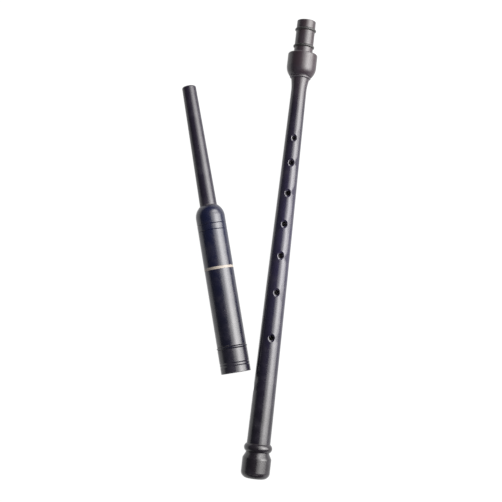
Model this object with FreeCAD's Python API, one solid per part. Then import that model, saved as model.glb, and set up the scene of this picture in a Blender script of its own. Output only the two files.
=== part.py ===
import FreeCAD, Part
import math
import os
from FreeCAD import Placement, Rotation, Vector

# A long practice chanter, taken apart into its two sections and laid on a table in a V.
# Top section: blow stem, barrel, seam ring and trap collar, with a reed chamber inside.
# Chanter section: a bored tube with finger holes, a tenon with two seals, and a sole.
#
# Frame: +Z up from the table, +Y along the top section towards its mouthpiece, +X towards
# the chanter. The origin is under the middle of the whole outline. Millimetres throughout.

# --- Fits -----------------------------------------------------------------------------------
RUNNING_GAP = 0.03          # radial clearance of a turned spigot in its bore
RING_GAP = 0.02             # clearance of a rubber ring to the wall it seals against
JOINT_GAP = 0.05            # axial clearance where two sections meet face to face
SOCKET_GAP = 0.35           # radial clearance of the tenon in its socket, closed by its seals
GROOVE_SIDE_GAP = 0.15      # clearance on each side of a rubber ring in its groove

# --- Chanter: distances run from the free end of the tenon ----------------------------------
TENON_DIAMETER = 14.8
TENON_LENGTH = 26.8
TENON_EDGE = 0.5
TENON_SEAL_CORD = 2.0       # thickness of the rubber
TENON_SEAL_PROUD = 0.95     # how far a free seal stands out of the tenon
TENON_TIP_INSET = 7.4       # from the tenon's free end to the upper seal
TENON_ROOT_INSET = 5.9      # from the lower seal to the tenon's shoulder

REED_SEAT_DIAMETER = 7.0
REED_SEAT_DEPTH = 14.0
REED_SEAT_CHAMFER = 0.4
CHANTER_BORE = 6.2

BULB_DIAMETER = 23.25
BULB_STRAIGHT = 10.6        # length of the bulb's cylindrical part
BULB_EDGE = 1.2
BULB_TURN = 39.5            # degrees of the ball that follows the cylindrical part
BULB_STEP = 1.1             # depth of the step below the ball
NECK_BEAD_GAP = 0.45
NECK_BEAD_WIDTH = 1.4
NECK_BEAD_DIAMETER = 16.5
NECK_QUIRK_WIDTH = 0.6      # the small sunk step below the bead
NECK_QUIRK_DEPTH = 0.5
NECK_DIAMETER = 14.25
NECK_LENGTH = 6.7
NECK_SWEEP = 35.0           # radius of the curve from the neck into the shaft

SHAFT_LENGTH = 307.3        # from the tenon's shoulder to the sole
SHAFT_TOP_DIAMETER = 12.02
SHAFT_BREAK = 183.2         # from the tenon's shoulder, where the taper eases off
SHAFT_BREAK_DIAMETER = 16.0
SHAFT_FOOT_DIAMETER = 18.25

# Distances from the tenon's shoulder
FINGER_HOLE_PLACES = [69.1, 88.8, 113.1, 137.6, 162.4, 191.2, 226.4]
FINGER_HOLE_DIAMETER = 4.2
TOP_FINGER_HOLE_DIAMETER = 3.4
THUMB_HOLE_PLACE = 55.0
THUMB_HOLE_DIAMETER = 4.2
SOUND_HOLE_PLACE = 265.9
SOUND_HOLE_DIAMETER = 5.0
HOLE_DISH_WIDTH = 1.3       # how far each hole's mouth is opened out along the chanter
HOLE_DISH_DEPTH = 0.75
CHANTER_ROLL = 4.0          # degrees that the finger holes are rolled towards +X

SOLE_SPIGOT_DIAMETER = 13.6
SOLE_SPIGOT_LENGTH = 16.0
SOLE_SPIGOT_EDGE = 0.4
SOLE_DIAMETER = 22.3
SOLE_LENGTH = 26.9
SOLE_LAND = 0.5             # plain strip above the sole's bead
SOLE_BEAD_WIDTH = 6.3
SOLE_BEAD_DIAMETER = 21.8
SOLE_WAIST = 0.9            # plain strip below the bead
SOLE_FLARE_END = 11.5       # from the sole's top face
SOLE_FLARE_ROUND = 2.5
SOLE_FOOT_ROUND = 5.0
SOLE_HOLE_DIAMETER = 9.0
SOLE_HOLE_CHAMFER = 0.6

# --- Top section: distances run from the mouthpiece -----------------------------------------
STEM_TIP_DIAMETER = 11.0
STEM_FOOT_DIAMETER = 13.45
STEM_LENGTH = 96.7          # the part that shows
STEM_TIP_ROUND = 1.5
STEM_FOOT_EDGE = 0.2
WINDWAY_DIAMETER = 5.0
WINDWAY_FLARE = 0.6
STEM_SPIGOT_DIAMETER = 9.8
STEM_SPIGOT_LENGTH = 20.0
STEM_SPIGOT_EDGE = 0.4
STEM_SEAL_PLACE = 10.0      # from the stem's foot
INNER_SEAL_CORD = 1.5

BARREL_DIAMETER = 22.8
BARREL_LENGTH = 110.95
BARREL_LAND_DIAMETER = 13.65
BARREL_FOOT_EDGE = 0.5
BARREL_SCRIBE_PLACES = [14.95, 19.85]   # from the barrel's top face
BARREL_SCRIBE_WIDTH = 0.7
BARREL_SCRIBE_DEPTH = 0.35
BARREL_NECK_LENGTH = 23.5   # narrow bore that holds the stem
CHAMBER_ROUND = 2.0         # at the top of the wide bore below it, which takes the collar

SEAM_RING_DIAMETER = 23.8
SEAM_RING_WIDTH = 1.7
SEAM_RING_ROUND = 0.75
SEAM_RING_LOOSE = 0.05      # radial clearance around the collar's spigot

COLLAR_DIAMETER = 23.1
COLLAR_LENGTH = 18.8        # the part that shows
COLLAR_EDGE = 0.5
COLLAR_GROOVE_PLACES = [7.7, 5.5]       # from the collar's lower end
COLLAR_GROOVE_WIDTH = 1.0
COLLAR_GROOVE_DEPTH = 0.28
COLLAR_SPIGOT_LENGTH = 18.2
COLLAR_SPIGOT_EDGE = 0.4
COLLAR_SEAL_PLACE = 5.0     # from the spigot's free end
SOCKET_WALL = 1.4           # between the socket and the outside of the collar's spigot
SOCKET_END_GAP = 0.4        # between the tenon's free end and the socket's floor
SOCKET_CHAMFER = 0.6
SOCKET_LIP = 1.2            # ledge that the reed chamber stands on
SOCKET_LIP_OVERHANG = 0.6

MOISTURE_GAP = 2.5          # all round the reed chamber, where the barrel's moisture gathers
REED_CHAMBER_WALL = 1.0
REED_CHAMBER_LENGTH = 54.0
CAP_THICKNESS = 1.5
CAP_ROUND = 0.8
CAP_PLUG_LENGTH = 4.0
CAP_PLUG_WALL = 1.2
CAP_VENT_DIAMETER = 2.4
CAP_VENT_CIRCLE = 5.4
CAP_VENT_COUNT = 4

# --- How the two sections lie ---------------------------------------------------------------
SPREAD_ANGLE = 16.15        # degrees between the two sections
SIDE_GAP = 3.75             # between the collar's lower corner and the chanter's shaft
FOOT_OVERHANG = 81.6        # how far the sole's end lies past that corner, along the chanter


def outline(points):
    """Closed wire from corner points in the half-plane beside a turning axis.

    A point is (distance along the axis, radius), with a third number where the corner is
    rounded. A pair of points, (through, end), is an arc to `end` that passes `through`.
    """
    corners = []
    for point in points:
        if isinstance(point[0], tuple):
            corners.append((place(point[1]), 0.0, place(point[0])))
        else:
            rounding = point[2] if len(point) == 3 else 0.0
            corners.append((place(point), rounding, None))
    edges = []
    count = len(corners)
    trims = [corner_trim(corners, index) for index in range(count)]
    for index in range(count):
        start = trims[index - 1][-1]
        end = trims[index][0]
        through = corners[index][2]
        if through is not None:
            edges.append(Part.Arc(start, through, end).toShape())
        elif start.distanceToPoint(end) > 1e-6:
            edges.append(Part.LineSegment(start, end).toShape())
        if len(trims[index]) == 3:
            edges.append(Part.Arc(*trims[index]).toShape())
    return Part.Wire(Part.__sortEdges__(edges))


def place(point):
    """A point beside the local turning axis, which runs from the origin along -Y."""
    return Vector(point[1], -point[0], 0.0)


def corner_trim(corners, index):
    """The corner itself, or the start, middle and end of the arc that rounds it."""
    corner, rounding, _ = corners[index]
    if rounding == 0.0:
        return [corner]
    before = corners[index - 1][0] - corner
    after = corners[(index + 1) % len(corners)][0] - corner
    half_angle = before.getAngle(after) / 2.0
    setback = min(rounding / math.tan(half_angle), before.Length, after.Length)
    radius = setback * math.tan(half_angle)
    before.normalize()
    after.normalize()
    inward = before + after
    inward.normalize()
    middle = corner + inward * (radius / math.sin(half_angle) - radius)
    return [corner + before * setback, middle, corner + after * setback]


def turned(points):
    """Solid of revolution from an outline beside the local axis."""
    face = Part.Face(outline(points))
    return face.revolve(Vector(0, 0, 0), Vector(0, 1, 0), 360)


def groove(centre, width, surface_radius, depth):
    """Square-bottomed groove, as corner points of an outline."""
    near = centre - width / 2.0
    far = centre + width / 2.0
    floor = surface_radius - depth
    return [(near, surface_radius), (near, floor), (far, floor), (far, surface_radius)]


def scribe(centre, width, surface_radius, depth):
    """V-shaped groove, as corner points of an outline."""
    half = width / 2.0
    return [(centre - half, surface_radius), (centre, surface_radius - depth),
            (centre + half, surface_radius)]


def seal(centre, outer_radius, cord):
    """Rubber ring of round section."""
    ring_radius = outer_radius - cord / 2.0
    return Part.makeTorus(ring_radius, cord / 2.0, place((centre, 0.0)), Vector(0, 1, 0))


def seal_groove(centre, surface_radius, seal_outer_radius, cord):
    """Groove that takes a rubber ring, touching it on the floor and clear of it at the sides."""
    depth = surface_radius - (seal_outer_radius - cord) + RING_GAP
    return groove(centre, cord + 2.0 * GROOVE_SIDE_GAP, surface_radius, depth)


# --- Chanter --------------------------------------------------------------------------------
shoulder = TENON_LENGTH
shaft_end = shoulder + SHAFT_LENGTH
chanter_end = shaft_end + SOLE_LENGTH
tenon_radius = TENON_DIAMETER / 2.0
tenon_seal_radius = tenon_radius + TENON_SEAL_PROUD
tenon_seals = {
    "tenon_ring_upper": TENON_TIP_INSET,
    "tenon_ring_lower": TENON_LENGTH - TENON_ROOT_INSET,
}


def shaft_radius(distance):
    """Outer radius of the chanter's shaft at a distance from the tenon's free end."""
    start = (neck_end, SHAFT_TOP_DIAMETER / 2.0)
    knee = (shoulder + SHAFT_BREAK, SHAFT_BREAK_DIAMETER / 2.0)
    end = (shaft_end, SHAFT_FOOT_DIAMETER / 2.0)
    if distance > knee[0]:
        start, knee = knee, end
    share = (distance - start[0]) / (knee[0] - start[0])
    return start[1] + share * (knee[1] - start[1])


bulb_radius = BULB_DIAMETER / 2.0
bulb_turn = math.radians(BULB_TURN)
ball_start = shoulder + BULB_STRAIGHT
ball_end = ball_start + bulb_radius * math.sin(bulb_turn)
ball_end_radius = bulb_radius * math.cos(bulb_turn)
ball_middle = (ball_start + bulb_radius * math.sin(bulb_turn / 2.0),
               bulb_radius * math.cos(bulb_turn / 2.0))
bead_start = ball_end + NECK_BEAD_GAP
bead_end = bead_start + NECK_BEAD_WIDTH
quirk_end = bead_end + NECK_QUIRK_WIDTH
neck_end = quirk_end + NECK_LENGTH
spigot_end = shaft_end + SOLE_SPIGOT_LENGTH


def chanter_tube():
    """Tenon, bulb, neck and shaft in one turned piece, bored through and drilled."""
    points = [(0.0, REED_SEAT_DIAMETER / 2.0 + REED_SEAT_CHAMFER),
              (0.0, tenon_radius, TENON_EDGE)]
    for centre in tenon_seals.values():
        points += seal_groove(centre, tenon_radius, tenon_seal_radius, TENON_SEAL_CORD)
    points += [(shoulder, tenon_radius),
               (shoulder, bulb_radius, BULB_EDGE),
               (ball_start, bulb_radius),
               (ball_middle, (ball_end, ball_end_radius)),
               (ball_end, ball_end_radius - BULB_STEP),
               (bead_start, ball_end_radius - BULB_STEP),
               (bead_start, NECK_BEAD_DIAMETER / 2.0, NECK_BEAD_WIDTH / 3.0),
               (bead_end, NECK_BEAD_DIAMETER / 2.0, NECK_BEAD_WIDTH / 3.0),
               (bead_end, NECK_DIAMETER / 2.0 - NECK_QUIRK_DEPTH),
               (quirk_end, NECK_DIAMETER / 2.0 - NECK_QUIRK_DEPTH),
               (quirk_end, NECK_DIAMETER / 2.0),
               (neck_end, SHAFT_TOP_DIAMETER / 2.0, NECK_SWEEP),
               (shoulder + SHAFT_BREAK, SHAFT_BREAK_DIAMETER / 2.0),
               (shaft_end, SHAFT_FOOT_DIAMETER / 2.0),
               (shaft_end, SOLE_SPIGOT_DIAMETER / 2.0),
               (spigot_end, SOLE_SPIGOT_DIAMETER / 2.0, SOLE_SPIGOT_EDGE),
               (spigot_end, CHANTER_BORE / 2.0),
               (REED_SEAT_DEPTH, CHANTER_BORE / 2.0),
               (REED_SEAT_DEPTH, REED_SEAT_DIAMETER / 2.0),
               (REED_SEAT_CHAMFER, REED_SEAT_DIAMETER / 2.0)]
    tube = turned(points)
    drills = []
    for number, from_shoulder in enumerate(FINGER_HOLE_PLACES):
        diameter = TOP_FINGER_HOLE_DIAMETER if number == 0 else FINGER_HOLE_DIAMETER
        drills.append(drill(shoulder + from_shoulder, diameter, 0.0))
    drills.append(drill(shoulder + THUMB_HOLE_PLACE, THUMB_HOLE_DIAMETER, 180.0))
    drills.append(drill(shoulder + SOUND_HOLE_PLACE, SOUND_HOLE_DIAMETER, -90.0))
    return tube.cut(drills)


def drill(distance, diameter, around):
    """Cutter from the bore to the outside, dished at the mouth, `around` degrees from +Z."""
    surface = shaft_radius(distance)
    radius = diameter / 2.0
    hole = Part.makeCylinder(radius, 2.0 * surface, Vector(0, 0, 0), Vector(0, 0, 1))
    mouth = Part.makeCone(radius, radius + 2.0 * HOLE_DISH_WIDTH, 2.0 * HOLE_DISH_DEPTH,
                          Vector(0, 0, surface - HOLE_DISH_DEPTH), Vector(0, 0, 1))
    cutter = hole.fuse(mouth)
    cutter.translate(place((distance, 0.0)))
    cutter.rotate(Vector(0, 0, 0), Vector(0, 1, 0), CHANTER_ROLL + around)
    return cutter


def sole():
    """Foot of the chanter: a bead, a waist, a flare and a rounded end, bored for the spigot."""
    radius = SOLE_DIAMETER / 2.0
    neck = SHAFT_FOOT_DIAMETER / 2.0
    top_of_bead = shaft_end + SOLE_LAND
    end_of_bead = top_of_bead + SOLE_BEAD_WIDTH
    crest = ((top_of_bead + end_of_bead) / 2.0, SOLE_BEAD_DIAMETER / 2.0)
    hole = SOLE_HOLE_DIAMETER / 2.0
    points = [(shaft_end, SOLE_SPIGOT_DIAMETER / 2.0),
              (shaft_end, neck),
              (top_of_bead, neck),
              (crest, (end_of_bead, neck)),
              (end_of_bead + SOLE_WAIST, neck),
              (shaft_end + SOLE_FLARE_END, radius, SOLE_FLARE_ROUND),
              (chanter_end, radius, SOLE_FOOT_ROUND),
               (chanter_end, hole + SOLE_HOLE_CHAMFER),
               (chanter_end - SOLE_HOLE_CHAMFER, hole),
               (spigot_end, hole),
               (spigot_end, SOLE_SPIGOT_DIAMETER / 2.0)]
    return turned(points)


# --- Top section ----------------------------------------------------------------------------
barrel_top = STEM_LENGTH + JOINT_GAP
barrel_foot = barrel_top + BARREL_LENGTH
ring_start = barrel_foot + JOINT_GAP
ring_end = ring_start + SEAM_RING_WIDTH
collar_top = ring_end + JOINT_GAP
collar_foot = collar_top + COLLAR_LENGTH
collar_spigot_top = collar_top - COLLAR_SPIGOT_LENGTH
socket_radius = tenon_radius + SOCKET_GAP
collar_spigot_radius = socket_radius + SOCKET_WALL
chamber_radius = collar_spigot_radius + RUNNING_GAP
stem_spigot_radius = STEM_SPIGOT_DIAMETER / 2.0
stem_bore_radius = stem_spigot_radius + RUNNING_GAP
stem_seal_radius = stem_bore_radius - RING_GAP
collar_seal_radius = chamber_radius - RING_GAP
stem_seal_centre = STEM_LENGTH + STEM_SEAL_PLACE
collar_seal_centre = collar_spigot_top + COLLAR_SEAL_PLACE
socket_floor = collar_foot - TENON_LENGTH - SOCKET_END_GAP
reed_chamber_foot = socket_floor - SOCKET_LIP
reed_chamber_radius = chamber_radius - MOISTURE_GAP
reed_chamber_top = reed_chamber_foot - REED_CHAMBER_LENGTH


def stem():
    """Blow stem: a tapered mouthpiece with a spigot that plugs into the barrel."""
    windway = WINDWAY_DIAMETER / 2.0
    spigot_tip = STEM_LENGTH + STEM_SPIGOT_LENGTH
    points = [(0.0, windway + WINDWAY_FLARE),
              (0.0, STEM_TIP_DIAMETER / 2.0, STEM_TIP_ROUND),
              (STEM_LENGTH, STEM_FOOT_DIAMETER / 2.0, STEM_FOOT_EDGE),
              (STEM_LENGTH, stem_spigot_radius)]
    points += seal_groove(stem_seal_centre, stem_spigot_radius, stem_seal_radius, INNER_SEAL_CORD)
    points += [(spigot_tip, stem_spigot_radius, STEM_SPIGOT_EDGE),
               (spigot_tip, windway),
               (WINDWAY_FLARE, windway)]
    return turned(points)


def barrel():
    """Body of the top section: a ball shoulder, two scribed lines and a wide lower bore."""
    radius = BARREL_DIAMETER / 2.0
    land = BARREL_LAND_DIAMETER / 2.0
    ball_centre = barrel_top + math.sqrt(radius ** 2 - land ** 2)
    half_turn = math.acos(land / radius) / 2.0
    ball_side = (ball_centre - radius * math.sin(half_turn), radius * math.cos(half_turn))
    chamber_top = barrel_top + BARREL_NECK_LENGTH
    points = [(barrel_top, stem_bore_radius),
              (barrel_top, land),
              (ball_side, (ball_centre, radius))]
    for from_top in BARREL_SCRIBE_PLACES:
        points += scribe(barrel_top + from_top, BARREL_SCRIBE_WIDTH, radius, BARREL_SCRIBE_DEPTH)
    points += [(barrel_foot, radius, BARREL_FOOT_EDGE),
               (barrel_foot, chamber_radius),
               (chamber_top, chamber_radius, CHAMBER_ROUND),
               (chamber_top, stem_bore_radius)]
    return turned(points)


def seam_ring():
    """Loose ring between the barrel and the trap collar."""
    inner = collar_spigot_radius + SEAM_RING_LOOSE
    outer = SEAM_RING_DIAMETER / 2.0
    return turned([(ring_start, inner),
                   (ring_start, outer, SEAM_RING_ROUND),
                   (ring_end, outer, SEAM_RING_ROUND),
                   (ring_end, inner)])


def trap_collar():
    """Lower end of the top section: spigot into the barrel above, chanter socket below."""
    radius = COLLAR_DIAMETER / 2.0
    lip = reed_chamber_radius - SOCKET_LIP_OVERHANG
    points = [(collar_spigot_top, reed_chamber_radius),
              (collar_spigot_top, collar_spigot_radius, COLLAR_SPIGOT_EDGE)]
    points += seal_groove(collar_seal_centre, collar_spigot_radius, collar_seal_radius,
                          INNER_SEAL_CORD)
    points += [(collar_top, collar_spigot_radius),
               (collar_top, radius, COLLAR_EDGE)]
    for from_foot in COLLAR_GROOVE_PLACES:
        points += scribe(collar_foot - from_foot, COLLAR_GROOVE_WIDTH, radius,
                         COLLAR_GROOVE_DEPTH)
    points += [(collar_foot, radius, COLLAR_EDGE),
               (collar_foot, socket_radius + SOCKET_CHAMFER),
               (collar_foot - SOCKET_CHAMFER, socket_radius),
               (socket_floor, socket_radius),
               (socket_floor, lip),
               (reed_chamber_foot, lip),
               (reed_chamber_foot, reed_chamber_radius)]
    return turned(points)


def reed_chamber_tube():
    """Tube that keeps the moisture in the barrel away from the reed."""
    inner = reed_chamber_radius - REED_CHAMBER_WALL
    return turned([(reed_chamber_top, inner),
                   (reed_chamber_top, reed_chamber_radius),
                   (reed_chamber_foot, reed_chamber_radius),
                   (reed_chamber_foot, inner)])


def chamber_cap():
    """Vented plug in the top of the reed chamber."""
    plug = reed_chamber_radius - REED_CHAMBER_WALL
    hollow = plug - CAP_PLUG_WALL
    cap_top = reed_chamber_top - CAP_THICKNESS
    plug_end = reed_chamber_top + CAP_PLUG_LENGTH
    cap = turned([(cap_top, 0.0),
                  (cap_top, reed_chamber_radius, CAP_ROUND),
                  (reed_chamber_top, reed_chamber_radius),
                  (reed_chamber_top, plug),
                  (plug_end, plug),
                  (plug_end, hollow),
                  (reed_chamber_top, hollow),
                  (reed_chamber_top, 0.0)])
    vents = []
    for number in range(CAP_VENT_COUNT):
        angle = 2.0 * math.pi * (number + 0.5) / CAP_VENT_COUNT
        foot = Vector(CAP_VENT_CIRCLE / 2.0 * math.sin(angle), -plug_end,
                      CAP_VENT_CIRCLE / 2.0 * math.cos(angle))
        vents.append(Part.makeCylinder(CAP_VENT_DIAMETER / 2.0, plug_end - cap_top + 1.0,
                                       foot, Vector(0, 1, 0)))
    return cap.cut(vents)


def one_solid(shape):
    """The single solid of a shape, with the seams that cutting leaves taken out."""
    clean = shape.removeSplitter()
    if len(clean.Solids) != 1:
        raise ValueError("a piece has %d solids" % len(clean.Solids))
    return clean.Solids[0]


# --- Placing --------------------------------------------------------------------------------
spread = math.radians(SPREAD_ANGLE)
along_chanter = Vector(math.sin(spread), math.cos(spread), 0.0)
beside_chanter = Vector(math.cos(spread), -math.sin(spread), 0.0)
top_axis_height = max(SEAM_RING_DIAMETER, COLLAR_DIAMETER, BARREL_DIAMETER) / 2.0
chanter_axis_height = max(BULB_DIAMETER, SOLE_DIAMETER) / 2.0
collar_corner = Vector(COLLAR_DIAMETER / 2.0, -collar_foot, 0.0)
beside_collar = collar_corner + beside_chanter * (
    SIDE_GAP + shaft_radius(chanter_end - FOOT_OVERHANG))
tenon_tip = beside_collar + along_chanter * (chanter_end - FOOT_OVERHANG)
lay_top = Placement(Vector(0, 0, top_axis_height), Rotation())
lay_chanter = Placement(tenon_tip + Vector(0, 0, chanter_axis_height),
                        Rotation(Vector(0, 0, 1), -SPREAD_ANGLE))

chanter_pieces = {"chanter_tube": chanter_tube(), "sole": sole()}
for name, centre in tenon_seals.items():
    chanter_pieces[name] = seal(centre, tenon_seal_radius, TENON_SEAL_CORD)
top_pieces = {
    "stem": stem(),
    "stem_seal_ring": seal(stem_seal_centre, stem_seal_radius, INNER_SEAL_CORD),
    "barrel": barrel(),
    "barrel_seal_ring": seal(collar_seal_centre, collar_seal_radius, INNER_SEAL_CORD),
    "seam_ring": seam_ring(),
    "trap_collar": trap_collar(),
    "reed_chamber_tube": reed_chamber_tube(),
    "chamber_cap": chamber_cap(),
}

placed = {}
for name, shape in chanter_pieces.items():
    placed[name] = one_solid(shape).transformShape(lay_chanter.toMatrix(), True)
for name, shape in top_pieces.items():
    placed[name] = one_solid(shape).transformShape(lay_top.toMatrix(), True)

whole = Part.Compound(list(placed.values())).optimalBoundingBox(False, False)
to_origin = Vector(-whole.Center.x, -whole.Center.y, -whole.ZMin)

os.makedirs("parts", exist_ok=True)
for name, shape in placed.items():
    shape.translate(to_origin)
    shape.exportStep("parts/" + name + ".step")
    print(name, "volume %.1f mm3" % shape.Volume)
print("size %.2f x %.2f x %.2f mm" % (whole.XLength, whole.YLength, whole.ZLength))
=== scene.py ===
import math

import bmesh
import bpy
from mathutils import Matrix, Vector


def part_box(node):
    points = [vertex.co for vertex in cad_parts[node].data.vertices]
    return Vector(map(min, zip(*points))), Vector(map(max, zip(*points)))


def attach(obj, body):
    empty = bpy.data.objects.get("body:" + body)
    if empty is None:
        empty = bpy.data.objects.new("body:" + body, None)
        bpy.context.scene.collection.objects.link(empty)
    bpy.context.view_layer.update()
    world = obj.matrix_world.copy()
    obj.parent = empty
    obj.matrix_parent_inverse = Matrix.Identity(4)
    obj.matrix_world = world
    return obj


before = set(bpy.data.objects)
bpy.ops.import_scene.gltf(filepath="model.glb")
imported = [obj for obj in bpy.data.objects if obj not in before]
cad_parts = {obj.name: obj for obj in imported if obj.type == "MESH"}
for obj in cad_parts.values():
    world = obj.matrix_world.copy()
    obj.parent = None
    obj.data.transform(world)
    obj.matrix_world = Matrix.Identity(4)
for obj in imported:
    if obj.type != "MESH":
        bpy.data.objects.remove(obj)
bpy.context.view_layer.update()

# Lengths are in metres and angles in degrees, unless a line says otherwise.

# --- Camera -----------------------------------------------------------------------------------
CAMERA_PLACE = (-0.03325, -0.08086, 0.8486)
CAMERA_TILT = 5.544
CAMERA_LEAN = 0.094
CAMERA_ROLL = -9.528
CAMERA_SENSOR = 36.0        # millimetres
CAMERA_LENS = 77.206        # millimetres
CAMERA_NEAREST = 0.01

# --- Light ------------------------------------------------------------------------------------
KEY_ANGLE = 47.0            # from straight up, towards the right of the picture
KEY_REACH = 1.1             # from the middle of the floor
KEY_ALONG = 0.12            # towards the top of the picture
KEY_COLOUR = (1.0, 0.985, 0.965)
# The wide lamp gives the highlight its soft sides, and the narrower ones brighten its middle,
# its end at the top of the picture, and the low right side.
KEY_LAMPS = {               # angle, reach, place along, width, length, radiance
    "key_wide": (KEY_ANGLE - 3.0, KEY_REACH, KEY_ALONG + 0.50, 1.80, 2.3, 3.0),
    "key_head": (KEY_ANGLE - 1.0, KEY_REACH - 0.04, 1.15, 0.90, 0.80, 6.0),
    "key_middle": (KEY_ANGLE, KEY_REACH - 0.01, KEY_ALONG, 0.95, 0.95, 3.8),
    "key_core": (KEY_ANGLE + 1.0, KEY_REACH - 0.02, KEY_ALONG, 0.55, 0.77, 5.6),
    "key_low": (KEY_ANGLE + 31.0, KEY_REACH - 0.03, KEY_ALONG, 0.42, 0.85, 4.4),
}
FILL_COLOUR = (0.86, 0.88, 1.0, 1.0)
FILL_STRENGTH = 0.12

# --- Floor ------------------------------------------------------------------------------------
FLOOR_SIZE = 12.0
FLOOR_GLOW = 1.0
FLOOR_GREY = (0.03, 0.03, 0.03, 1.0)

# --- Turning axes, from the mouthpiece's end and from the tenon's end ---------------------------
TIP_TO_RING = 0.0074        # from the tenon's end to the middle of its first rubber ring
TOP_SPAN = 0.2              # the length that the top section's tints are spread over
CHANTER_SPAN = 0.36

# --- Edges worn by handling, along those axes or in from a piece's own end ----------------------
MOUTH_EDGE = 0.0006
STEM_BESIDE_BARREL = 0.0964
BARREL_TOP_INSET = 0.0005
BARREL_FOOT_INSET = 0.0004
COLLAR_FOOT_INSET = 0.0004
TENON_EDGE = 0.0003
BULB_TOP_EDGE = 0.0272
NECK_BEAD = 0.0460
SOLE_FOOT = 0.3575
WEAR_REACH = 0.0009

# --- Tints: (share of the span, colour) ---------------------------------------------------------
STEM_TINTS = [(0.0, (0.0085, 0.0062, 0.0135)), (1.0, (0.0085, 0.0066, 0.0160))]
BARREL_TINTS = [(0.5, (0.0022, 0.0038, 0.0200)), (0.72, (0.0026, 0.0034, 0.0165)),
                (0.95, (0.0030, 0.0030, 0.0105))]
COLLAR_TINTS = [(0.0, (0.0068, 0.0064, 0.0150)), (1.0, (0.0070, 0.0064, 0.0130))]
CHANTER_TINTS = [(0.0, (0.0190, 0.0125, 0.0150)), (0.12, (0.0215, 0.0135, 0.0185)),
                 (0.20, (0.0105, 0.0082, 0.0160)), (0.49, (0.0150, 0.0125, 0.0320)),
                 (0.67, (0.0100, 0.0082, 0.0215)), (0.89, (0.0052, 0.0040, 0.0080))]
SOLE_TINTS = [(0.0, (0.0068, 0.0050, 0.0075)), (1.0, (0.0068, 0.0050, 0.0075))]
MOTTLE_COLOUR = (0.030, 0.027, 0.036)
DUST_COLOUR = (0.12, 0.11, 0.11)
WORN_COLOUR = (0.055, 0.050, 0.053)
BORE_COLOUR = (0.024, 0.021, 0.025)
# Painted light: a lighter grey inside the chanter's bore and finger holes, standing in for light that reaches
# into them.
BORE_PAINTED_LIGHT_COLOUR = (0.150, 0.138, 0.165)
BULB_DULLER = (0.042, 0.075, 0.075)     # from, to, and the roughness added before `from`

# --- Marks on the plastic: how much the place is stretched across, along and across the axis ----
LATHE_RINGS = (45.0, 2600.0, 45.0)
LATHE_BANDS = (6.0, 210.0, 6.0)
SMEARS = (1.0, 0.45, 1.0)
HAIRLINES = (2600.0, 60.0, 2600.0)
CROSS_MARKS = (70.0, 3400.0, 70.0)
CLOUDS = (1.0, 0.5, 1.0)

# --- Printed band on the barrel, from the barrel's top face -------------------------------------
BAND_START = 0.0488
BAND_WIDTH = 0.0021
BAND_PROUD = 0.00004
BAND_SUNK = 0.00005         # how far its two ends sit inside the barrel's surface
BAND_ROUND = 0.0001         # length of each rounded end
BAND_ROUND_STEP = 0.00004
BAND_ROUND_DROP = 0.00001
BAND_SIDES = 256


def middle(node):
    """Centre of a CAD node's box at rest."""
    low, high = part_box(node)
    return (Vector(low) + Vector(high)) / 2.0


def axis_frame(start, finish):
    """Turn about Z and shift that lay a piece's axis on +Y, with `start` at the origin."""
    along = finish - start
    turn = math.pi / 2.0 - math.atan2(along.y, along.x)
    return turn, -(Matrix.Rotation(turn, 3, "Z") @ start)


stem_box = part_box("stem")
barrel_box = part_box("barrel")
collar_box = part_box("trap_collar")
mouth = Vector((middle("stem").x, stem_box[1][1], middle("stem").z))
top_frame = axis_frame(mouth, mouth - Vector((0.0, 1.0, 0.0)))
chanter_run = (middle("tenon_ring_lower") - middle("tenon_ring_upper")).normalized()
tenon_tip = middle("tenon_ring_upper") - chanter_run * TIP_TO_RING
chanter_frame = axis_frame(tenon_tip, tenon_tip + chanter_run)


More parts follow.
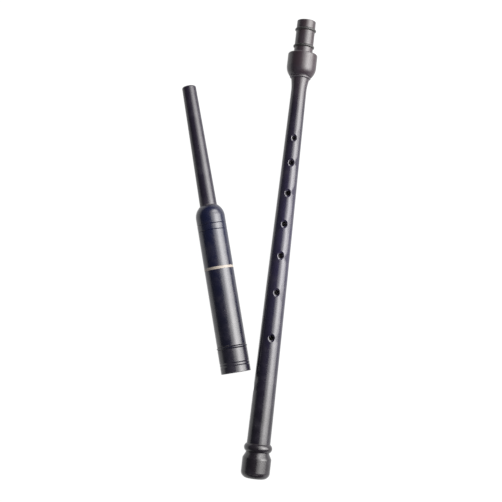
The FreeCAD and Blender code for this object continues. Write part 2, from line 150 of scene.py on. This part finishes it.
class Nodes:
    """Short calls that add and wire shader nodes."""

    def __init__(self, name):
        self.material = bpy.data.materials.new(name)
        self.material.use_nodes = True
        self.tree = self.material.node_tree
        self.shader = self.tree.nodes["Principled BSDF"]

    def add(self, kind, **settings):
        node = self.tree.nodes.new(kind)
        for key, value in settings.items():
            setattr(node, key, value)
        return node

    def feed(self, source, socket):
        """Wires an output to an input, or sets the input to a plain value."""
        if isinstance(source, bpy.types.NodeSocket):
            self.tree.links.new(source, socket)
        else:
            socket.default_value = source

    def math(self, operation, first, second=0.0, clamp=False):
        node = self.add("ShaderNodeMath", operation=operation, use_clamp=clamp)
        self.feed(first, node.inputs[0])
        self.feed(second, node.inputs[1])
        return node.outputs[0]

    def noise(self, vector, scale, detail=3.0, rough=0.55):
        node = self.add("ShaderNodeTexNoise")
        self.feed(vector, node.inputs["Vector"])
        node.inputs["Scale"].default_value = scale
        node.inputs["Detail"].default_value = detail
        node.inputs["Roughness"].default_value = rough
        return node.outputs["Fac"]

    def stretch(self, vector, scale):
        node = self.add("ShaderNodeVectorMath", operation="MULTIPLY")
        self.feed(vector, node.inputs[0])
        node.inputs[1].default_value = scale
        return node.outputs[0]

    def span(self, value, low, high, to_low=0.0, to_high=1.0):
        """Value from low..high to to_low..to_high, eased and held at the ends."""
        node = self.add("ShaderNodeMapRange", interpolation_type="SMOOTHSTEP")
        self.feed(value, node.inputs["Value"])
        node.inputs["From Min"].default_value = low
        node.inputs["From Max"].default_value = high
        node.inputs["To Min"].default_value = to_low
        node.inputs["To Max"].default_value = to_high
        return node.outputs["Result"]

    def blend(self, share, first, second):
        """Colour that goes from first to second. Each is an output or a plain (r, g, b)."""
        node = self.add("ShaderNodeMix", data_type="RGBA")
        self.feed(share, node.inputs["Factor"])
        for source, socket in ((first, node.inputs["A"]), (second, node.inputs["B"])):
            colour = [s for s in node.inputs if s.name == socket.name and s.type == "RGBA"][0]
            self.feed(source if isinstance(source, bpy.types.NodeSocket) else (*source, 1.0), colour)
        return [s for s in node.outputs if s.type == "RGBA"][0]

    def ramp(self, value, stops):
        """Colours at places from 0 to 1."""
        node = self.add("ShaderNodeValToRGB")
        self.feed(value, node.inputs["Fac"])
        while len(node.color_ramp.elements) < len(stops):
            node.color_ramp.elements.new(0.5)
        for element, (place, colour) in zip(node.color_ramp.elements, stops):
            element.position = place
            element.color = (*colour, 1.0)
        return node.outputs["Color"]

    def bump(self, height, distance, strength, after=None):
        node = self.add("ShaderNodeBump")
        self.feed(height, node.inputs["Height"])
        node.inputs["Distance"].default_value = distance
        node.inputs["Strength"].default_value = strength
        if after is not None:
            self.feed(after, node.inputs["Normal"])
        return node.outputs["Normal"]

    def turned_place(self, axis):
        """Place about the piece's turning axis, the distance along it, and how far outward it faces.

        The third is 1 on an outside wall, 0 on an end face and -1 on the wall of a bore.
        """
        turn, shift = axis
        coordinates = self.add("ShaderNodeTexCoord")
        place = self.add("ShaderNodeMapping", vector_type="POINT")
        place.inputs["Rotation"].default_value = (0.0, 0.0, turn)
        place.inputs["Location"].default_value = shift
        self.feed(coordinates.outputs["Object"], place.inputs["Vector"])
        parts = self.add("ShaderNodeSeparateXYZ")
        self.feed(place.outputs[0], parts.inputs[0])
        facing = self.add("ShaderNodeMapping", vector_type="VECTOR")
        facing.inputs["Rotation"].default_value = (0.0, 0.0, turn)
        self.feed(coordinates.outputs["Normal"], facing.inputs["Vector"])
        outward = self.add("ShaderNodeCombineXYZ")
        self.feed(parts.outputs["X"], outward.inputs["X"])
        self.feed(parts.outputs["Z"], outward.inputs["Z"])
        unit = self.add("ShaderNodeVectorMath", operation="NORMALIZE")
        self.feed(outward.outputs[0], unit.inputs[0])
        dot = self.add("ShaderNodeVectorMath", operation="DOT_PRODUCT")
        self.feed(facing.outputs[0], dot.inputs[0])
        self.feed(unit.outputs[0], dot.inputs[1])
        return place.outputs[0], parts.outputs["Y"], dot.outputs["Value"]


def black_plastic(name, axis, length, tints, roughness, worn=(), seed=0.0, hidden=BORE_COLOUR,
                  duller=None, shine=0.6):
    """Turned black plastic: lathe marks, soft smears, hairline scratches, dust and worn edges.

    tints are (share of the length, colour) from the axis's start. worn are distances along the
    axis where an edge is handled. hidden is the colour inside bores and holes; on the chanter it is
    a painted light grey that stands in for light reaching into its bore and finger holes. duller is
    (from, to, extra roughness), for a finish that gets glossier along the axis.
    """
    look = Nodes(name)
    place, along, outward = look.turned_place(axis)
    offset = look.add("ShaderNodeVectorMath", operation="ADD")
    look.feed(place, offset.inputs[0])
    offset.inputs[1].default_value = (seed, 0.0, seed * 0.5)
    place = offset.outputs[0]

    base = look.ramp(look.math("DIVIDE", along, length, clamp=True), tints)
    mottle = look.noise(place, 90.0, 4.0)
    lighter = look.blend(0.45, base, MOTTLE_COLOUR)
    base = look.blend(look.span(mottle, 0.42, 0.72), base, lighter)

    rings = look.noise(look.stretch(place, LATHE_RINGS), 1.0, 4.0, 0.7)
    bands = look.noise(look.stretch(place, LATHE_BANDS), 1.0, 2.0)
    grain = look.noise(place, 2400.0, 2.0)
    smear = look.noise(look.stretch(place, SMEARS), 130.0, 5.0, 0.65)
    hairs = look.noise(look.stretch(place, HAIRLINES), 1.0, 2.0)
    hairs = look.span(hairs, 0.66, 0.74)
    crossed = look.noise(look.stretch(place, CROSS_MARKS), 1.0, 1.0)
    crossed = look.span(crossed, 0.69, 0.77)
    scratches = look.math("MAXIMUM", hairs, crossed)
    scratches = look.math("MULTIPLY", scratches, look.span(smear, 0.45, 0.6))

    specks = look.add("ShaderNodeTexVoronoi")
    look.feed(place, specks.inputs["Vector"])
    specks.inputs["Scale"].default_value = 420.0
    dust = look.span(specks.outputs["Distance"], 0.05, 0.09, 1.0, 0.0)
    dust = look.math("MULTIPLY", dust, look.span(mottle, 0.5, 0.62))
    base = look.blend(look.math("MULTIPLY", dust, 0.5), base, DUST_COLOUR)

    edges = 0.0
    for where in worn:
        gap = look.math("ABSOLUTE", look.math("SUBTRACT", along, where))
        edges = look.math("MAXIMUM", look.span(gap, 0.0, WEAR_REACH, 1.0, 0.0), edges)
    if worn:
        edges = look.math("MULTIPLY", edges, look.span(look.noise(place, 700.0, 3.0), 0.38, 0.62))
        base = look.blend(look.math("MULTIPLY", edges, 0.5), base, WORN_COLOUR)

    # Bores, holes and end faces take the hidden colour; on the chanter this colour is painted light.
    inside = look.span(outward, 0.35, 0.75, 1.0, 0.0)
    base = look.blend(inside, base, hidden)
    look.feed(base, look.shader.inputs["Base Color"])

    rough = look.math("ADD", roughness - 0.045, look.math("MULTIPLY", smear, 0.09))
    roughened = [(look.math("SUBTRACT", bands, 0.5), 0.06), (scratches, 0.12), (dust, 0.3), (inside, 0.25)]
    if worn:
        roughened.append((edges, 0.12))
    for mark, amount in roughened:
        rough = look.math("ADD", rough, look.math("MULTIPLY", mark, amount))
    if duller:
        start, finish, extra = duller
        rough = look.math("ADD", rough, look.span(along, start, finish, extra, 0.0))
    look.feed(rough, look.shader.inputs["Roughness"])
    look.shader.inputs["IOR"].default_value = 1.5
    look.shader.inputs["Specular IOR Level"].default_value = shine

    skin = look.bump(grain, 0.00002, 0.04)
    skin = look.bump(rings, 0.00002, 0.06, skin)
    skin = look.bump(bands, 0.00003, 0.08, skin)
    skin = look.bump(look.math("SUBTRACT", 1.0, scratches), 0.00001, 0.25, skin)
    look.feed(skin, look.shader.inputs["Normal"])
    return look.material


def rubber(name, axis, shift=0.0):
    """Matt black rubber, clouded by a paler bloom, with a fine grain. shift alters the cloud's scale."""
    look = Nodes(name)
    place, _, outward = look.turned_place(axis)
    grain = look.noise(place, 3200.0, 3.0)
    bloom = look.noise(place, 260.0 + shift, 4.0)
    base = look.blend(look.span(bloom, 0.4, 0.7), (0.010, 0.0095, 0.010), (0.024, 0.022, 0.023))
    base = look.blend(look.span(outward, 0.3, 0.9, 0.6, 0.0), base, (0.040, 0.037, 0.036))
    look.feed(base, look.shader.inputs["Base Color"])
    look.feed(look.span(bloom, 0.3, 0.7, 0.42, 0.52), look.shader.inputs["Roughness"])
    look.shader.inputs["Specular IOR Level"].default_value = 0.55
    look.feed(look.bump(grain, 0.00003, 0.35), look.shader.inputs["Normal"])
    return look.material


def chamber_plastic(name, axis):
    """Smooth grey moulded plastic of the reed chamber, clouded by dried moisture."""
    look = Nodes(name)
    place = look.turned_place(axis)[0]
    cloud = look.noise(look.stretch(place, CLOUDS), 160.0, 5.0, 0.7)
    base = look.blend(look.span(cloud, 0.45, 0.65), (0.27, 0.26, 0.24), (0.36, 0.35, 0.33))
    look.feed(base, look.shader.inputs["Base Color"])
    look.feed(look.span(cloud, 0.35, 0.7, 0.22, 0.5), look.shader.inputs["Roughness"])
    look.feed(look.bump(look.noise(place, 1500.0), 0.00002, 0.2), look.shader.inputs["Normal"])
    return look.material


def print_ink(name, axis):
    """Cream ink, rubbed thin in places."""
    look = Nodes(name)
    place = look.turned_place(axis)[0]
    rub = look.noise(look.stretch(place, CLOUDS), 900.0, 5.0, 0.75)
    wide = look.noise(place, 150.0, 3.0)
    thin = look.math("ADD", look.math("MULTIPLY", rub, 0.7), look.math("MULTIPLY", wide, 0.3))
    base = look.blend(look.span(wide, 0.35, 0.7), (0.270, 0.238, 0.205), (0.225, 0.198, 0.172))
    base = look.blend(look.span(thin, 0.60, 0.70, 0.0, 0.75), base, (0.030, 0.026, 0.030))
    look.feed(base, look.shader.inputs["Base Color"])
    look.feed(look.span(rub, 0.3, 0.7, 0.36, 0.50), look.shader.inputs["Roughness"])
    look.feed(look.bump(rub, 0.00002, 0.3), look.shader.inputs["Normal"])
    return look.material


def turned_ring(name, start, profile, sides):
    """Closed ring about the top section's axis. The profile is (distance below start, radius)."""
    mesh = bpy.data.meshes.new(name)
    work = bmesh.new()
    rows = []
    for side in range(sides):
        angle = 2.0 * math.pi * side / sides
        row = []
        for below, radius in profile:
            corner = (start.x + radius * math.sin(angle), start.y - below, start.z + radius * math.cos(angle))
            row.append(work.verts.new(corner))
        rows.append(row)
    for side in range(sides):
        here, after = rows[side], rows[(side + 1) % sides]
        for index in range(len(profile)):
            following = (index + 1) % len(profile)
            work.faces.new((here[index], here[following], after[following], after[index]))
    bmesh.ops.recalc_face_normals(work, faces=work.faces)
    work.to_mesh(mesh)
    work.free()
    mesh.shade_smooth()
    ring = bpy.data.objects.new(name, mesh)
    bpy.context.scene.collection.objects.link(ring)
    return ring


def softbox(name, angle, reach, along, width, length, radiance):
    """Lamp `angle` degrees from straight up towards the right, its long side up the picture."""
    data = bpy.data.lights.new(name, "AREA")
    data.shape = "RECTANGLE"
    data.size = length
    data.size_y = width
    data.energy = radiance * math.pi * width * length
    data.color = KEY_COLOUR
    lamp = bpy.data.objects.new(name, data)
    bpy.context.scene.collection.objects.link(lamp)
    turn = math.radians(angle)
    back = picture_right * math.sin(turn) + Vector((0, 0, math.cos(turn)))
    place = back * reach + picture_up * along
    rows = Matrix((picture_up, back.cross(picture_up), back)).transposed()
    lamp.matrix_world = Matrix.Translation(place) @ rows.to_4x4()
    lamp.visible_camera = False


# --- Finishes -----------------------------------------------------------------------------------
barrel_start = mouth.y - barrel_box[1][1]
barrel_end = mouth.y - barrel_box[0][1]
collar_end = mouth.y - collar_box[0][1]
finishes = {
    "stem": black_plastic("stem_plastic", top_frame, TOP_SPAN, STEM_TINTS, 0.31,
                          (MOUTH_EDGE, STEM_BESIDE_BARREL), 0.31, shine=0.54),
    "barrel": black_plastic("barrel_plastic", top_frame, TOP_SPAN, BARREL_TINTS, 0.27,
                            (barrel_start + BARREL_TOP_INSET, barrel_end - BARREL_FOOT_INSET), 0.53,
                            shine=0.66),
    "seam_ring": black_plastic("seam_ring_plastic", top_frame, TOP_SPAN, BARREL_TINTS, 0.24, (), 0.71),
    "trap_collar": black_plastic("collar_plastic", top_frame, TOP_SPAN, COLLAR_TINTS, 0.27,
                                 (collar_end - COLLAR_FOOT_INSET,), 0.87),
    # The chanter's bore and finger holes get painted light as their hidden colour.
    "chanter_tube": black_plastic("chanter_plastic", chanter_frame, CHANTER_SPAN, CHANTER_TINTS, 0.25,
                                  (TENON_EDGE, BULB_TOP_EDGE, NECK_BEAD), 0.17, BORE_PAINTED_LIGHT_COLOUR,
                                  BULB_DULLER),
    "sole": black_plastic("sole_plastic", chanter_frame, CHANTER_SPAN, SOLE_TINTS, 0.26, (SOLE_FOOT,), 0.43),
    "tenon_ring_upper": rubber("tenon_ring_upper_rubber", chanter_frame),
    "tenon_ring_lower": rubber("tenon_ring_lower_rubber", chanter_frame, 7.0),
    "stem_seal_ring": rubber("stem_seal_rubber", top_frame, 3.0),
    "barrel_seal_ring": rubber("barrel_seal_rubber", top_frame, 5.0),
    "reed_chamber_tube": chamber_plastic("reed_chamber_plastic", top_frame),
    "chamber_cap": chamber_plastic("chamber_cap_plastic", top_frame),
}
for name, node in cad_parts.items():
    node.data.materials.clear()
    node.data.materials.append(finishes[name])

# --- Printed band -------------------------------------------------------------------------------
barrel_radius = (barrel_box[1][0] - barrel_box[0][0]) / 2.0
band_top = Vector((mouth.x, barrel_box[1][1] - BAND_START, mouth.z))
band_outside = barrel_radius + BAND_PROUD
band_edge = [(0.0, barrel_radius - BAND_SUNK), (BAND_ROUND_STEP, band_outside - BAND_ROUND_DROP),
             (BAND_ROUND, band_outside)]
band_profile = band_edge + [(BAND_WIDTH - below, radius) for below, radius in reversed(band_edge)]
band = turned_ring("barrel_band", band_top, band_profile, BAND_SIDES)
band.data.materials.append(print_ink("cream_ink", top_frame))
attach(band, "barrel")

# --- Camera -------------------------------------------------------------------------------------
camera_data = bpy.data.cameras.new("camera")
camera = bpy.data.objects.new("camera", camera_data)
bpy.context.scene.collection.objects.link(camera)
camera.location = CAMERA_PLACE
camera.rotation_euler = [math.radians(angle) for angle in (CAMERA_TILT, CAMERA_LEAN, CAMERA_ROLL)]
camera_data.sensor_width = CAMERA_SENSOR
camera_data.lens = CAMERA_LENS
camera_data.clip_start = CAMERA_NEAREST
bpy.context.scene.camera = camera

# --- Floor --------------------------------------------------------------------------------------
bpy.ops.mesh.primitive_plane_add(size=FLOOR_SIZE, location=(0, 0, 0))
floor = bpy.context.object
floor.name = "floor"
paper = Nodes("white_floor")
paper.tree.nodes.remove(paper.shader)
both = paper.add("ShaderNodeAddShader")
glow = paper.add("ShaderNodeEmission")
glow.inputs["Strength"].default_value = FLOOR_GLOW
matt = paper.add("ShaderNodeBsdfDiffuse")
matt.inputs["Color"].default_value = FLOOR_GREY
paper.feed(glow.outputs[0], both.inputs[0])
paper.feed(matt.outputs[0], both.inputs[1])
paper.feed(both.outputs[0], paper.tree.nodes["Material Output"].inputs["Surface"])
floor.data.materials.append(paper.material)

# --- Light --------------------------------------------------------------------------------------
picture_right = Vector((math.cos(math.radians(CAMERA_ROLL)), math.sin(math.radians(CAMERA_ROLL)), 0.0))
picture_up = Vector((-picture_right.y, picture_right.x, 0.0))
for name, setting in KEY_LAMPS.items():
    softbox(name, *setting)

world = bpy.data.worlds.new("studio")
bpy.context.scene.world = world
world.use_nodes = True
background = world.node_tree.nodes["Background"]
background.inputs["Color"].default_value = FILL_COLOUR
background.inputs["Strength"].default_value = FILL_STRENGTH
bpy.context.scene.view_settings.view_transform = "Standard"
